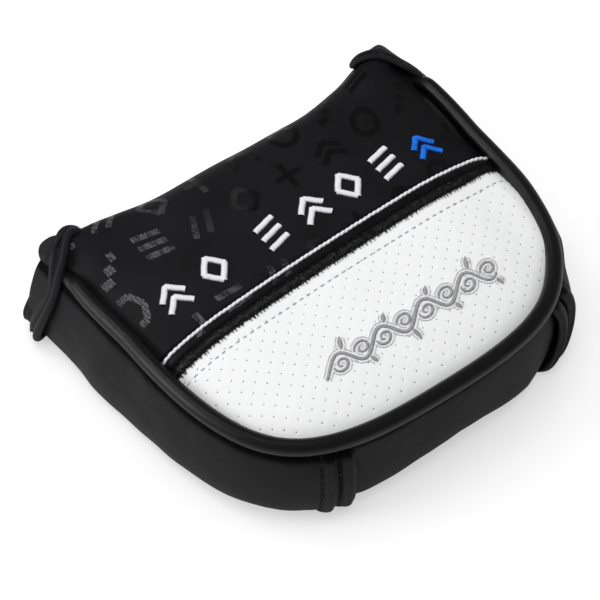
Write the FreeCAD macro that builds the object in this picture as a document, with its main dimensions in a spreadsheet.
# Mallet putter head cover: a D-shaped padded pouch of synthetic leather.
#
# Frame: origin at the centre of the footprint, on the resting plane; +X towards the toe side,
# +Y towards the mouth (where the putter face sits), +Z up through the decorated panel. Millimetres.
#
# The decorated panel is a D: straight at the mouth (+Y), rounded at the rear (-Y), with a corded
# piping round the three sewn sides. Side and rear gussets drop from the piping and turn under as a
# padded rim. A flap carries the panel over the mouth, turns under at a crease and closes on the
# underside with two pairs of magnets.
import FreeCAD, Part
import math
import os
import Sketcher

V = FreeCAD.Vector
Constraint = Sketcher.Constraint
doc = FreeCAD.newDocument("head_cover")
sheet = doc.addObject("Spreadsheet::Sheet", "dims")

# ---------------------------------------------------------------- driving dimensions
# alias, value, note
CELLS = [
    ("half_width", 58.0, "piping centre line, half width"),
    ("corner_radius", 37.0, "piping centre line, rear corner radius"),
    ("rear_radius", 130.0, "piping centre line, rear edge radius"),
    ("rear_line", 51.0, "piping centre line, distance of the rear edge behind the origin"),
    ("wall_front", 52.8, "front ends of the side gussets"),
    ("panel_front", 46.3, "front edge of the decorated panel, at the flap fold"),
    ("leather", 1.2, "thickness of the synthetic leather"),
    ("play", 0.05, "assembly gap between sewn layers"),
    ("wall_out", 2.0, "side gusset outer face outside the piping centre line"),
    ("wall_top", 28.7, "top of the gussets, under the piping"),
    ("rim_in", 8.5, "inner edge of the turned-under rim, inside the piping centre line"),
    ("side_foam_in", 3.0, "inner face of the side foam, inside the piping centre line"),
    ("lining_in", 5.8, "inner face of the wall lining, inside the piping centre line"),
    ("foot_top", 3.35, "top of the foam foot inside the rim"),
    ("rear_out", 0.5, "rear gusset outer face, inside the piping centre line"),
    ("rear_foam_in", 3.75, "inner face of the rear foam, inside the piping centre line"),
    ("pleat_split", 46.0, "half distance between the ends of the rear gusset"),
    ("hem_outer", 36.5, "half distance between the side gusset hems"),
    ("hem_inner", 32.0, "half distance between the pleat strip hems"),
    ("piping_height", 32.0, "piping centre line above the resting plane"),
    ("piping_radius", 3.2, "piping outside radius"),
    ("cord_radius", 2.0, "piping cord radius"),
    ("piping_front", 44.0, "front ends of the piping, inside the corner caps"),
    ("panel_top", 35.2, "top face of the decorated panel"),
    ("panel_inset", 3.3, "edge of the decorated panel inside the piping centre line"),
    ("panel_foam", 2.55, "foam under the decorated panel"),
    ("panel_lining", 1.45, "lining under the decorated panel"),
    ("notch_half", 50.5, "half width of the panel between its corner notches"),
    ("notch_back", 40.3, "rear edge of the corner notches"),
    ("seam_line", 1.2, "seam between the front and rear decorated panels"),
    ("hem_width", 4.3, "width of the folded hem on the seam"),
    ("hem_thick", 1.0, "thickness of the folded hem"),
    ("zigzag_width", 3.5, "width of the zigzag stitched band"),
    ("bottom_low", 3.4, "lower face of the bottom panel"),
    ("bottom_front", 26.0, "front edge of the bottom panel"),
    ("bottom_foam", 1.5, "foam in the bottom panel"),
    ("bottom_lining", 1.0, "lining of the bottom panel"),
    ("magnet_radius", 6.0, "magnet disc radius"),
    ("magnet_thick", 1.4, "magnet disc thickness"),
    ("magnet_half", 18.0, "half distance between the magnets"),
    ("magnet_line", 17.0, "magnet centres ahead of the origin"),
    ("flap_front", 49.7, "outer face of the closed flap front"),
    ("flap_top_half", 49.0, "half width of the flap at its fold"),
    ("flap_mid_half", 36.0, "half width of the flap at its crease"),
    ("flap_end_half", 32.0, "half width of the flap at its end"),
    ("flap_end", 8.0, "end of the closed flap tip"),
    ("flap_corner", 12.0, "corner radius of the flap tip"),
    ("flap_foam", 1.5, "foam in the flap"),
    ("flap_lining", 0.5, "lining of the flap"),
    ("crease_low", 3.9, "lower edge of the flap front"),
    ("cap_inner", 50.7, "inner face of the corner caps"),
    ("cap_outer", 65.5, "outer face of the corner caps"),
    ("cap_back", 40.5, "rear hem of the corner caps"),
    ("cap_front", 54.2, "front face of the corner caps"),
    ("cap_top", 36.5, "top face of the corner caps"),
    ("slot_inner", 52.1, "inner face of the slot in the corner caps"),
    ("slot_outer", 61.4, "outer face of the slot in the corner caps"),
    ("slot_front", 52.9, "front face of the slot in the corner caps"),
    ("slot_top", 35.3, "top of the slot in the corner caps"),
    ("cap_fillet", 4.0, "rounding of the corner caps' outer upright edges"),
]
VALUE = {}
for row, (alias, value, note) in enumerate(CELLS, start=1):
    sheet.set("A%d" % row, alias)
    sheet.set("B%d" % row, "%g" % value)
    sheet.set("C%d" % row, note)
    sheet.setAlias("B%d" % row, alias)
    VALUE[alias] = value
doc.recompute()

SIDES = (("heel", -1), ("toe", 1))
BEYOND = 80  # half size of the trimming boxes, larger than the cover
TOLERANCE = 1e-6


# ---------------------------------------------------------------- numbers bound to the sheet
class Dim:
    """A number together with the sheet expression that gives it."""

    def __init__(self, value, expression):
        self.value = float(value)
        self.expression = expression

    def __add__(self, other):
        other = as_dim(other)
        return Dim(self.value + other.value, "(%s + %s)" % (self.expression, other.expression))

    def __sub__(self, other):
        other = as_dim(other)
        return Dim(self.value - other.value, "(%s - %s)" % (self.expression, other.expression))

    def __mul__(self, other):
        other = as_dim(other)
        return Dim(self.value * other.value, "(%s * %s)" % (self.expression, other.expression))

    def __neg__(self):
        return Dim(-self.value, "(0 - %s)" % self.expression)

    __rmul__ = __mul__


def as_dim(number):
    if isinstance(number, Dim):
        return number
    return Dim(number, "(%s)" % repr(float(number)))


def cell(alias):
    return Dim(VALUE[alias], "dims.%s" % alias)


def set_dim(obj, prop, size):
    """Give a property its value and bind it to the sheet."""
    size = as_dim(size)
    setattr(obj, prop, size.value)
    obj.setExpression(prop, size.expression)


def place(obj, at, rotation=FreeCAD.Rotation()):
    at = [as_dim(coordinate) for coordinate in at]
    obj.Placement = FreeCAD.Placement(V(*(c.value for c in at)), rotation)
    for axis, coordinate in zip("xyz", at):
        obj.setExpression("Placement.Base." + axis, coordinate.expression)


def bind_constraint(sketch, label, constraint, size):
    index = sketch.addConstraint(constraint)
    sketch.renameConstraint(index, label)
    sketch.setExpression("Constraints." + label, size.expression)


LEATHER, PLAY = cell("leather"), cell("play")

# ---------------------------------------------------------------- the D outline
# Centres of the toe-side rear corner arc and of the rear arc.
CORNER_X = cell("half_width") - cell("corner_radius")
REAR_Y = cell("rear_radius") - cell("rear_line")
RADIUS_STEP = VALUE["rear_radius"] - VALUE["corner_radius"]
CORNER_Y = Dim(
    REAR_Y.value - math.sqrt(RADIUS_STEP**2 - CORNER_X.value**2),
    "(dims.rear_radius - dims.rear_line - sqrt(pow(dims.rear_radius - dims.corner_radius; 2)"
    " - pow(dims.half_width - dims.corner_radius; 2)))",
)
# Half angle of the rear arc, in degrees.
TURN = Dim(
    math.degrees(math.asin(CORNER_X.value / RADIUS_STEP)),
    "asin((dims.half_width - dims.corner_radius) / (dims.rear_radius - dims.corner_radius))",
)


def line(start, end):
    return Part.LineSegment(V(start[0], start[1], 0), V(end[0], end[1], 0))


def arc(x, y, radius, start, end):
    return Part.ArcOfCircle(Part.Circle(V(x, y, 0), V(0, 0, 1), radius), start, end)


def d_sketch(name, offset, front, low):
    """A closed D: the piping centre line moved out by offset, closed by a straight front edge."""
    offset, front, low = as_dim(offset), as_dim(front), as_dim(low)
    sketch = doc.addObject("Sketcher::SketchObject", name)
    half = cell("half_width") + offset
    corner = cell("corner_radius") + offset
    rear = cell("rear_radius") + offset
    half_x, front_y = half.value, front.value
    corner_x, corner_y = CORNER_X.value, CORNER_Y.value
    # direction of the toe-side point where corner and rear arcs meet
    blend = math.radians(TURN.value - 90)
    outline = (
        line((-half_x, front_y), (half_x, front_y)),
        line((half_x, front_y), (half_x, corner_y)),
        arc(corner_x, corner_y, corner.value, blend, 0.0),
        arc(0, REAR_Y.value, rear.value, -math.pi - blend, blend),
        arc(-corner_x, corner_y, corner.value, -math.pi, -math.pi - blend),
        line((-half_x, corner_y), (-half_x, front_y)),
    )
    for geometry in outline:
        sketch.addGeometry(geometry, False)
    for relation in (
        ("Coincident", 0, 2, 1, 1),
        ("Coincident", 5, 2, 0, 1),
        ("Vertical", 1),
        ("Vertical", 5),
        ("Symmetric", 0, 1, 0, 2, -2),
        ("Tangent", 1, 2, 2, 2),
        ("Tangent", 2, 1, 3, 2),
        ("Tangent", 3, 1, 4, 2),
        ("Tangent", 4, 1, 5, 1),
        ("PointOnObject", 3, 3, -2),
        ("Equal", 2, 4),
    ):
        sketch.addConstraint(Constraint(*relation))
    for label, kind, where, size in (
        ("half", "DistanceX", (-1, 1, 0, 2), half),
        ("mouth", "DistanceY", (-1, 1, 0, 2), front),
        ("corner", "Radius", (2,), corner),
        ("back", "Radius", (3,), rear),
        ("centre", "DistanceY", (-1, 1, 3, 3), REAR_Y),
    ):
        bind_constraint(sketch, label, Constraint(kind, *where, size.value), size)
    place(sketch, (0, 0, low))
    return sketch


# ---------------------------------------------------------------- solids and booleans
def prism(name, offset, front, low, high):
    """A D-shaped slab from low to high."""
    extrusion = doc.addObject("Part::Extrusion", name)
    extrusion.Base = d_sketch(name + "_sketch", offset, front, low)
    extrusion.DirMode = "Custom"
    extrusion.Dir = V(0, 0, 1)
    extrusion.Solid = True
    set_dim(extrusion, "LengthFwd", as_dim(high) - as_dim(low))
    return extrusion


def primitive(kind, name, at, rotation=FreeCAD.Rotation(), **sizes):
    solid = doc.addObject("Part::" + kind, name)
    for prop, size in sizes.items():
        set_dim(solid, prop, size)
    place(solid, at, rotation)
    return solid


def box(name, low, high):
    """A box between two opposite corners."""
    length, width, height = (as_dim(b) - as_dim(a) for a, b in zip(low, high))
    return primitive("Box", name, low, Length=length, Width=width, Height=height)


def region(name, x_low=-BEYOND, x_high=BEYOND, y_low=-BEYOND, y_high=BEYOND):
    """A trimming box that reaches past the cover on every side not given."""
    return box(name, (x_low, y_low, -BEYOND), (x_high, y_high, BEYOND))


def mirrored_span(side, near, far):
    """The x range near..far carried to one side, smaller value first."""
    near, far = as_dim(near), as_dim(far)
    return (near, far) if side > 0 else (-far, -near)


def boolean(kind, name, base, tool):
    result = doc.addObject("Part::" + kind, name)
    result.Base, result.Tool = base, tool
    return result


PIECES = []


def piece(obj, label=None):
    """List an object for export; its label, by default its name, becomes the file name."""
    if label:
        obj.Label = label
    PIECES.append(obj)
    return obj


# ---------------------------------------------------------------- walls
WALL_OUT = cell("wall_out")
WALL_TOP = cell("wall_top")
FOAM_TOP = WALL_TOP - 0.2
LINING_TOP = WALL_TOP + 0.3
LINING_LOW = cell("foot_top") + PLAY
LINING_IN = -cell("lining_in")
RIM_TOP = LEATHER + PLAY  # first level clear of the side gussets' rim
MOUTH_OVERRUN = 8  # hollows run past the front edge, so the walls stay open at the mouth


def wall(name, outer, inner, front, low, floor, high, trim):
    """A wall along the D between two offsets, kept inside the trim solid.

    A floor turns a rim in at the foot, with its top at that level; None leaves the foot open.
    """
    open_front = as_dim(front) + MOUTH_OVERRUN
    hollow_low = as_dim(low) - 1 if floor is None else floor
    body = prism(name + "_outer", outer, front, low, high)
    hollow = prism(name + "_hollow", inner, open_front, hollow_low, as_dim(high) + 1)
    body = boolean("Cut", name + "_wall", body, hollow)
    if floor is not None:
        opening = prism(name + "_open", -cell("rim_in"), open_front, as_dim(low) - 1, floor + 1)
        body = boolean("Cut", name + "_rim", body, opening)
    return piece(boolean("Common", name, body, trim))


def side_walls(label, side):
    """Side gusset, its foam and lining, and the pleat strip at its rear end."""
    front = cell("wall_front")
    foam_out = WALL_OUT - LEATHER - PLAY
    foam_in = -cell("side_foam_in")

    def side_region(name, near, far=BEYOND, y_high=BEYOND):
        x_low, x_high = mirrored_span(side, near, far)
        return region(name + "_region_" + label, x_low, x_high, y_high=y_high)

    wall("side_gusset_" + label, WALL_OUT, WALL_OUT - LEATHER, front,
         0, LEATHER, WALL_TOP, side_region("side_gusset", cell("hem_outer")))
    wall("side_foam_" + label, foam_out, foam_in, front,
         RIM_TOP, cell("foot_top"), FOAM_TOP,
         side_region("side_foam", cell("pleat_split") + PLAY))
    wall("side_lining_" + label, foam_in - PLAY, LINING_IN, front,
         LINING_LOW, None, LINING_TOP,
         side_region("side_lining", cell("pleat_split") + PLAY))
    wall("pleat_strip_" + label, foam_out, foam_out - LEATHER, 0,
         RIM_TOP, None, WALL_TOP,
         side_region("pleat", cell("hem_inner"), cell("pleat_split"), y_high=0))


def rear_walls():
    """Rear gusset, its foam and lining."""
    outer = -cell("rear_out")
    foam_in = -cell("rear_foam_in")
    split = cell("pleat_split")

    def rear_region(name):
        return region(name + "_region", -split, split, y_high=0)

    wall("rear_gusset", outer, outer - LEATHER, 0,
         RIM_TOP, RIM_TOP + LEATHER, WALL_TOP, rear_region("rear_gusset"))
    wall("rear_foam", outer - LEATHER - PLAY, foam_in, 0,
         RIM_TOP + LEATHER + PLAY, cell("foot_top"), FOAM_TOP, rear_region("rear_foam"))
    wall("rear_lining", foam_in - PLAY, LINING_IN, 0,
         LINING_LOW, None, LINING_TOP, rear_region("rear_lining"))


for side_label, side_sign in SIDES:
    side_walls(side_label, side_sign)
rear_walls()

# ---------------------------------------------------------------- bottom panel and magnets
POCKET_RADIUS = cell("magnet_radius") + 0.1
POCKET_CUTTER_HEIGHT = 10
BINDING_CLEARANCE = 0.1


def magnet_pair(name, label, low):
    """Two magnet discs, side by side."""
    discs = [
        primitive("Cylinder", name + "_" + tag,
                  (side * cell("magnet_half"), cell("magnet_line"), low),
                  Radius=cell("magnet_radius"), Height=cell("magnet_thick"))
        for tag, side in SIDES
    ]
    compound = doc.addObject("Part::Compound", name)
    compound.Links = discs
    piece(compound, label)


def bottom_panel():
    """Leather, pocketed foam and lining, bound along the front edge."""
    offset = LINING_IN - PLAY
    front = cell("bottom_front")
    leather_low = cell("bottom_low")
    leather_top = leather_low + LEATHER
    foam_top = leather_top + PLAY + cell("bottom_foam")
    lining_top = foam_top + PLAY + cell("bottom_lining")
    piece(prism("bottom_panel_leather", offset, front, leather_low, leather_top))
    foam = prism("bottom_foam_sheet", offset, front, leather_top + PLAY, foam_top)
    for tag, side in SIDES:
        pocket = primitive("Cylinder", "bottom_pocket_" + tag,
                           (side * cell("magnet_half"), cell("magnet_line"), 0),
                           Radius=POCKET_RADIUS, Height=POCKET_CUTTER_HEIGHT)
        foam = boolean("Cut", "bottom_foam_" + tag, foam, pocket)
    piece(foam, "bottom_panel_foam")
    piece(prism("bottom_panel_lining", offset, front, foam_top + PLAY, lining_top))
    half = cell("half_width") - cell("lining_in") - BINDING_CLEARANCE
    piece(box("bottom_edge_binding", (-half, front + PLAY, leather_low),
              (half, front + LEATHER + PLAY, lining_top)))
    magnet_pair("panel_magnets", "bottom_panel_magnets", leather_top + PLAY + PLAY)


bottom_panel()

# ---------------------------------------------------------------- decorated panel
PANEL_TOP = cell("panel_top")
PANEL_OFFSET = -cell("panel_inset")
HEM_INSET = 0.4  # ends of the folded hem inside the panel edge


def notched(name, offset, low, high, y_low=-BEYOND):
    """A layer of the panel ahead of y_low, its two front corners cut out for the caps."""
    body = prism(name + "_sheet", offset, cell("panel_front"), low, high)
    body = boolean("Common", name + "_slice", body, region(name + "_span", y_low=y_low))
    for tag, side in SIDES:
        x_low, x_high = mirrored_span(side, cell("notch_half"), BEYOND)
        corner = region(name + "_corner_" + tag, x_low, x_high, y_low=cell("notch_back"))
        body = boolean("Cut", name + "_notch_" + tag, body, corner)
    return body


def decorated_panel():
    """Front and rear leather meeting at the seam, foam, lining and the hem on the seam."""
    seam = cell("seam_line")
    front = cell("panel_front")
    leather_low = PANEL_TOP - LEATHER
    foam_top = leather_low - PLAY
    foam_low = foam_top - cell("panel_foam")
    lining_top = foam_low - PLAY
    lining_low = lining_top - cell("panel_lining")
    piece(notched("front_panel", PANEL_OFFSET, leather_low, PANEL_TOP, seam), "top_panel_front")
    rear = prism("rear_panel_sheet", PANEL_OFFSET, front, leather_low, PANEL_TOP)
    rear_span = region("rear_panel_span", y_high=seam - PLAY)
    piece(boolean("Common", "rear_panel", rear, rear_span), "top_panel_rear")
    piece(notched("top_foam", PANEL_OFFSET - PLAY, foam_low, foam_top), "top_panel_foam")
    piece(notched("top_lining", PANEL_OFFSET - PLAY, lining_low, lining_top), "top_panel_lining")
    hem_low = PANEL_TOP + PLAY
    hem = prism("hem_sheet", PANEL_OFFSET - HEM_INSET, front, hem_low,
                hem_low + cell("hem_thick"))
    hem_span = region("hem_span", y_low=seam, y_high=seam + cell("hem_width"))
    piece(boolean("Common", "hem_fold", hem, hem_span), "seam_hem_fold")


decorated_panel()


# ---------------------------------------------------------------- piping: a cord in a leather cover
def tube(name, radius):
    """A round bar along the piping centre line: two straight runs, two corners, the rear arc."""
    height = cell("piping_height")
    corner_angle = Dim(90 - TURN.value, "90 deg - " + TURN.expression)
    runs = []
    for tag, side in SIDES:
        runs.append(primitive(
            "Cylinder", name + "_run_" + tag,
            (side * cell("half_width"), cell("piping_front"), height),
            FreeCAD.Rotation(V(1, 0, 0), 90),
            Radius=radius, Height=cell("piping_front") - CORNER_Y))
        start = TURN.value - 90 if side > 0 else 180
        corner = primitive(
            "Torus", name + "_corner_" + tag, (side * CORNER_X, CORNER_Y, height),
            FreeCAD.Rotation(V(0, 0, 1), start),
            Radius1=cell("corner_radius"), Radius2=radius, Angle3=corner_angle)
        if side > 0:
            corner.setExpression("Placement.Rotation.Angle", TURN.expression + " - 90 deg")
        runs.append(corner)
    runs.append(primitive(
        "Torus", name + "_rear", (0, REAR_Y, height),
        FreeCAD.Rotation(V(0, 0, 1), -90 - TURN.value),
        Radius1=cell("rear_radius"), Radius2=radius,
        Angle3=Dim(2 * TURN.value, "2 * " + TURN.expression)))
    fusion = doc.addObject("Part::MultiFuse", name)
    fusion.Shapes = runs
    return fusion


piece(boolean("Cut", "piping_cover", tube("piping_outer", cell("piping_radius")),
              tube("piping_bore", cell("cord_radius") + PLAY)))
piece(tube("piping_core", cell("cord_radius")), "piping_cord")


# ---------------------------------------------------------------- PartDesign helpers
def body_sketch(body, name, plane, level=None):
    """An empty sketch on an origin plane of the body, raised to level along its normal."""
    sketch = body.newObject("Sketcher::SketchObject", name)
    support = [f for f in body.Origin.OriginFeatures if f.Role == plane][0]
    sketch.AttachmentSupport = [(support, "")]
    sketch.MapMode = "FlatFace"
    if level is not None:
        level = as_dim(level)
        sketch.AttachmentOffset = FreeCAD.Placement(V(0, 0, level.value), FreeCAD.Rotation())
        sketch.setExpression("AttachmentOffset.Base.z", level.expression)
    return sketch


def closed_ring(sketch, points):
    """Four lines joined end to end."""
    for i in range(4):
        sketch.addGeometry(line(points[i], points[(i + 1) % 4]), False)
    for i in range(4):
        sketch.addConstraint(Constraint("Coincident", i, 2, (i + 1) % 4, 1))


def bind_points(sketch, rows):
    """Bind vertices to the origin; a row is label, kind, line number, line end, distance."""
    for label, kind, geometry, end, size in rows:
        constraint = Constraint(kind, -1, 1, geometry, end, size.value)
        bind_constraint(sketch, label, constraint, size)


def rect_sketch(body, name, x_span, y_span):
    """A rectangle on the XY plane; each span runs from its smaller to its larger value."""
    sketch = body_sketch(body, name, "XY_Plane")
    (left, right), (low, high) = x_span, y_span
    closed_ring(sketch, [(left.value, low.value), (right.value, low.value),
                         (right.value, high.value), (left.value, high.value)])
    for kind, geometry in (("Horizontal", 0), ("Horizontal", 2), ("Vertical", 1), ("Vertical", 3)):
        sketch.addConstraint(Constraint(kind, geometry))
    bind_points(sketch, (
        ("left", "DistanceX", 0, 1, left),
        ("low", "DistanceY", 0, 1, low),
        ("right", "DistanceX", 1, 2, right),
        ("high", "DistanceY", 1, 2, high),
    ))
    return sketch


def sweep(body, kind, name, profile, length, backwards=False):
    """A Pad or Pocket of the profile."""
    feature = body.newObject("PartDesign::" + kind, name)
    feature.Profile = profile
    set_dim(feature, "Length", length)
    feature.Reversed = backwards
    doc.recompute()
    return feature


def upright_edges(shape, axis, distance, longer_than=0):
    """Names of the edges along Z at the given distance from the origin on one axis."""
    names = []
    for number, edge in enumerate(shape.Edges, start=1):
        start, end = edge.Vertexes[0].Point, edge.Vertexes[-1].Point
        upright = abs(start.x - end.x) < TOLERANCE and abs(start.y - end.y) < TOLERANCE
        at_distance = abs(abs(getattr(start, axis)) - distance) < TOLERANCE
        if upright and at_distance and abs(start.z - end.z) > longer_than:
            names.append("Edge%d" % number)
    return names


def round_edges(body, name, base, edges, radius):
    fillet = body.newObject("PartDesign::Fillet", name)
    fillet.Base = (base, edges)
    set_dim(fillet, "Radius", radius)
    doc.recompute()
    return fillet


# ---------------------------------------------------------------- corner caps
SLOT_OVERRUN = 2  # pockets run out past the rear hem
FOOT_OVERRUN = 1  # foot pocket runs out past both faces of the inner wall
CAP_EDGE_MIN = 30  # the rounded edges are longer than this


def corner_cap(label, side):
    """A padded cuff on the front end of a side gusset."""
    body = doc.addObject("PartDesign::Body", "corner_cap_" + label)
    block = rect_sketch(body, "cap_block_" + label,
                        mirrored_span(side, cell("cap_inner"), cell("cap_outer")),
                        (cell("cap_back"), cell("cap_front")))
    sweep(body, "Pad", "cap_pad_" + label, block, cell("cap_top"))
    slot_y = (cell("cap_back") - SLOT_OVERRUN, cell("slot_front"))
    slot = rect_sketch(body, "cap_slot_sketch_" + label,
                       mirrored_span(side, cell("slot_inner"), cell("slot_outer")), slot_y)
    sweep(body, "Pocket", "cap_slot_" + label, slot, cell("slot_top"), backwards=True)
    # the inner wall of the cap stands on the gusset rim and its foam foot
    foot_x = mirrored_span(side, cell("cap_inner") - FOOT_OVERRUN,
                           cell("slot_inner") + FOOT_OVERRUN)
    foot = rect_sketch(body, "cap_foot_sketch_" + label, foot_x, slot_y)
    foot = sweep(body, "Pocket", "cap_foot_" + label, foot, cell("foot_top") + PLAY * 2,
                 backwards=True)
    edges = upright_edges(foot.Shape, "x", VALUE["cap_outer"], CAP_EDGE_MIN)
    body.Tip = round_edges(body, "cap_round_" + label, foot, edges, cell("cap_fillet"))
    doc.recompute()
    piece(body)


for side_label, side_sign in SIDES:
    corner_cap(side_label, side_sign)


# ---------------------------------------------------------------- closing flap
def bore(body, name, plane, bores):
    """Round holes right through the body; a bore is x, y, radius."""
    sketch = body_sketch(body, name + "_pockets", plane)
    for i, (x, y, radius) in enumerate(bores):
        circle = Part.Circle(V(x.value, y.value, 0), V(0, 0, 1), radius.value)
        sketch.addGeometry(circle, False)
        bind_points(sketch, (
            ("bore_%d_x" % i, "DistanceX", i, 3, x),
            ("bore_%d_y" % i, "DistanceY", i, 3, y),
        ))
        bind_constraint(sketch, "bore_%d_size" % i, Constraint("Radius", i, radius.value), radius)
    pocket = body.newObject("PartDesign::Pocket", name + "_bores")
    pocket.Profile = sketch
    pocket.Type = "ThroughAll"
    pocket.Midplane = True
    doc.recompute()
    return pocket


def flap_plate(name, plane, low, high, thickness, level, backwards=False, corner=None, bores=()):
    """A symmetric trapezoid plate; low and high are (half width, distance) of its two edges.

    The corners at the low edge are rounded when a corner radius is given.
    """
    body = doc.addObject("PartDesign::Body", name)
    sketch = body_sketch(body, name + "_sketch", plane, level)
    (low_half, low_edge), (high_half, high_edge) = low, high
    closed_ring(sketch, [(-low_half.value, low_edge.value), (low_half.value, low_edge.value),
                         (high_half.value, high_edge.value), (-high_half.value, high_edge.value)])
    sketch.addConstraint(Constraint("Symmetric", 0, 1, 0, 2, -2))
    sketch.addConstraint(Constraint("Symmetric", 2, 1, 2, 2, -2))
    bind_points(sketch, (
        ("low_half", "DistanceX", 0, 2, low_half),
        ("low", "DistanceY", 0, 2, low_edge),
        ("high_half", "DistanceX", 1, 2, high_half),
        ("high", "DistanceY", 1, 2, high_edge),
    ))
    tip = sweep(body, "Pad", name + "_pad", sketch, thickness, backwards)
    if corner is not None:
        edges = upright_edges(tip.Shape, "y", low_edge.value)
        tip = round_edges(body, name + "_round", tip, edges, corner)
    if bores:
        tip = bore(body, name, plane, bores)
    body.Tip = tip
    doc.recompute()
    piece(body)


def flap_front():
    """The upright part of the flap, from the fold down to the crease."""
    leather_y = cell("flap_front") - LEATHER
    foam_y = leather_y - PLAY - cell("flap_foam")
    lining_y = foam_y - PLAY - cell("flap_lining")
    # The XZ plane's normal is -Y, so a level of -y puts the sketch at y and a reversed pad
    # grows towards +Y.
    # material, rear face, thickness, inset of the sides, inset of the top and bottom edges
    for material, rear_y, thickness, side_inset, edge_inset in (
        ("leather", leather_y, LEATHER, 0, 0),
        ("foam", foam_y, cell("flap_foam"), 1.0, 0.4),
        ("lining", lining_y, cell("flap_lining"), 0.6, 0.2),
    ):
        flap_plate("flap_front_" + material, "XZ_Plane",
                   (cell("flap_mid_half") - side_inset, cell("crease_low") + edge_inset),
                   (cell("flap_top_half") - side_inset, PANEL_TOP - edge_inset),
                   thickness, -rear_y, backwards=True)


def flap_tip():
    """The part of the flap turned under the cover, with its magnets."""
    foam_low = LEATHER + PLAY
    lining_low = foam_low + cell("flap_foam") + PLAY
    bores = [(side * cell("magnet_half"), cell("magnet_line"), POCKET_RADIUS)
             for _, side in SIDES]
    # material, lower face, thickness, inset of sides, rear end and corner, inset of the
    # front edge, bores
    for material, low, thickness, inset, front_inset, holes in (
        ("leather", 0, LEATHER, 0, 0, ()),
        ("foam", foam_low, cell("flap_foam"), 1.0, 1.2, bores),
        ("lining", lining_low, cell("flap_lining"), 0.6, 0.6, ()),
    ):
        flap_plate("flap_tip_" + material, "XY_Plane",
                   (cell("flap_end_half") - inset, cell("flap_end") + inset),
                   (cell("flap_mid_half") - inset, cell("flap_front") - front_inset),
                   thickness, low, corner=cell("flap_corner") - inset, bores=holes)
    magnet_pair("flap_discs", "flap_magnets", foam_low + PLAY)


flap_front()
flap_tip()

# ---------------------------------------------------------------- thread work, from the same cells
THREAD_RADIUS = 0.22
STITCH_PITCH = 2.5
STITCH_LENGTH = 1.7
THREAD_LIFT = 0.3  # stitch axis outside the face it lies on
EMBROIDERY_LOW = VALUE["panel_top"] + VALUE["play"]
SEAM = VALUE["seam_line"]
ZIGZAG_REAR = SEAM - VALUE["zigzag_width"]


def thread_piece(name, shapes, label):
    feature = doc.addObject("Part::Feature", name)
    feature.Shape = Part.makeCompound(shapes)
    piece(feature, label)


def stitch_row(start, direction, count, pitch=STITCH_PITCH, length=STITCH_LENGTH,
               radius=THREAD_RADIUS):
    """Short round threads in line from start along a unit direction."""
    return [Part.makeCylinder(radius, length, start + direction * (pitch * k), direction)
            for k in range(count)]


def embroidery(points, thick):
    """A flat plate of thread on the decorated panel."""
    corners = [V(x, y, EMBROIDERY_LOW) for x, y in points]
    wire = Part.makePolygon(corners + corners[:1])
    return Part.Face(wire).extrude(V(0, 0, thick))


def seam_rope():
    """A row of thick stitches on top of the folded hem."""
    pitch, count, end_gap = 2.2, 46, 0.15
    axis_z = EMBROIDERY_LOW + VALUE["hem_thick"] + 0.5
    start = V(-count / 2 * pitch + end_gap, SEAM + 3.0, axis_z)
    thread_piece("rope", stitch_row(start, V(1, 0, 0), count, pitch=pitch,
                                    length=pitch - 2 * end_gap, radius=0.42),
                 "seam_rope_stitch")


def rear_topstitch():
    """A row of stitches across the rear panel, behind the zigzag band."""
    count = 40
    start = V(-count / 2 * STITCH_PITCH + 0.4, ZIGZAG_REAR - 3.8,
              VALUE["panel_top"] + THREAD_LIFT)
    thread_piece("topstitch", stitch_row(start, V(1, 0, 0), count), "rear_panel_topstitch")


def zigzag_band():
    """A band straight against the hem and saw-toothed towards the rear panel."""
    teeth, end_inset = 64, 1.0
    front_y = SEAM - VALUE["play"] - 0.05
    valley_y, peak_y = ZIGZAG_REAR + 0.25, ZIGZAG_REAR - 0.55
    half = VALUE["half_width"] - VALUE["panel_inset"] - end_inset
    points = [(-half, front_y), (half, front_y)]
    for i in range(teeth + 1):
        x = half - 2 * half * i / teeth
        points.append((x, valley_y))
        if i < teeth:
            points.append((x - half / teeth * 1.6, peak_y))
    thread_piece("zigzag", [embroidery(points, 0.6)], "zigzag_stitch_band")


def chevrons(x, y, width, height, stroke):
    """A pair of nested chevrons pointing towards the mouth."""
    made = []
    for shift in (0.0, stroke * 1.9):
        foot = y - height / 2 + shift
        peak = foot + height * 0.45
        left, right = x - width / 2, x + width / 2
        made.append(embroidery([(left, foot), (x, peak), (right, foot), (right, foot + stroke),
                                (x, peak + stroke), (left, foot + stroke)], 0.6))
    return made


def motifs():
    """A row of chevrons across the front panel, the last one at the toe side in blue."""
    row_y = 15.0
    white_x = (-41.3, -28.0, -9.1, 4.4, 16.6, 29.3)
    white = [part for x in white_x
             for part in chevrons(x, row_y, width=8.0, height=8.4, stroke=2.0)]
    thread_piece("motif", white, "motif_embroidery_white")
    blue = chevrons(42.4, row_y - 0.6, width=7.0, height=7.6, stroke=1.8)
    thread_piece("accent", blue, "motif_embroidery_blue")


def scroll():
    """A run of satin-stitched waves on the rear panel."""
    first_x, pitch, centre_y = -22.0, 9.6, -28.5
    angles = [math.radians(200 - 20 * j) for j in range(13)]

    def wave_edge(centre_x, radius_x, radius_y):
        return [(centre_x + radius_x * math.cos(a), centre_y + radius_y * math.sin(a))
                for a in angles]

    waves = []
    for k in range(6):
        x = first_x + k * pitch
        outer, inner = wave_edge(x, 4.3, 4.8), wave_edge(x, 2.6, 3.1)
        waves.append(embroidery(outer + inner[::-1], 0.5))
    thread_piece("scroll", waves, "scroll_embroidery_grey")


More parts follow.
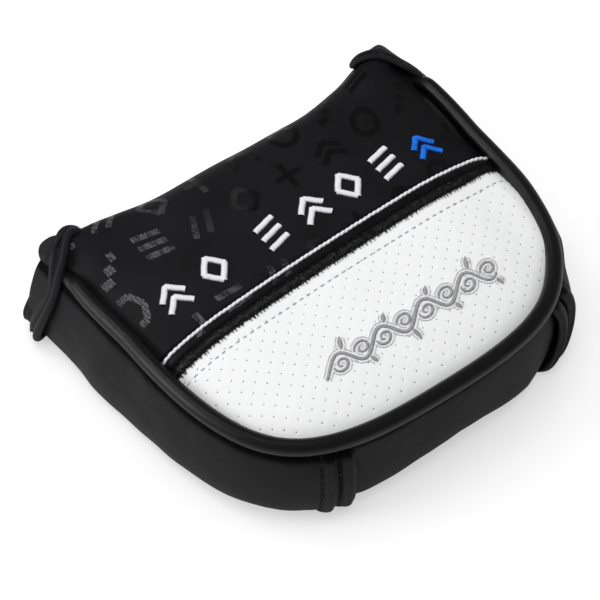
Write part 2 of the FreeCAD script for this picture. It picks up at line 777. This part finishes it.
def hem_stitches(label, side):
    """Upright rows on the side gusset near its rear hem and on the corner cap's outer face."""
    # the gusset row stands on the rear corner arc, lifted along the arc's outward normal
    radius = VALUE["corner_radius"] + VALUE["wall_out"]
    across = VALUE["hem_outer"] + 4.4 - CORNER_X.value
    behind = math.sqrt(radius**2 - across**2)
    reach = 1 + THREAD_LIFT / radius
    start = V(side * (CORNER_X.value + across * reach), CORNER_Y.value - behind * reach, 3.0)
    thread_piece("pleat_stitches_" + label, stitch_row(start, V(0, 0, 1), 10),
                 "pleat_stitch_" + label)
    start = V(side * (VALUE["cap_outer"] + THREAD_LIFT), VALUE["cap_back"] + 2.6, 2.0)
    thread_piece("cap_stitches_" + label, stitch_row(start, V(0, 0, 1), 13),
                 "corner_cap_stitch_" + label)


def flap_stitches():
    """Rows up the two slanted sides of the flap front."""
    made = []
    y = VALUE["flap_front"] + THREAD_LIFT
    for _, side in SIDES:
        low = V(side * (VALUE["flap_mid_half"] - 2.2), y, VALUE["crease_low"] + 2)
        high = V(side * (VALUE["flap_top_half"] - 2.8), y, VALUE["panel_top"] - 4)
        run = high - low
        made += stitch_row(low, run * (1.0 / run.Length), int(run.Length / STITCH_PITCH))
    thread_piece("flap_stitches", made, "flap_edge_stitch")


seam_rope()
rear_topstitch()
zigzag_band()
motifs()
scroll()
for side_label, side_sign in SIDES:
    hem_stitches(side_label, side_sign)
flap_stitches()

# ---------------------------------------------------------------- build, check, write
doc.recompute()
bad = [o.Name for o in doc.Objects if "Invalid" in o.State or "Error" in o.State]
if bad:
    raise RuntimeError("objects failed: %s" % bad)
if len({o.Label for o in PIECES}) != len(PIECES):
    raise RuntimeError("two pieces share a label")
for o in PIECES:
    if o.Shape.isNull() or not o.Shape.isValid() or not o.Shape.Solids:
        raise RuntimeError("bad shape: %s" % o.Label)
os.makedirs("parts", exist_ok=True)
for old in os.listdir("parts"):
    if old.endswith(".step"):
        os.remove(os.path.join("parts", old))
for o in PIECES:
    o.Shape.exportStep(os.path.join("parts", o.Label + ".step"))
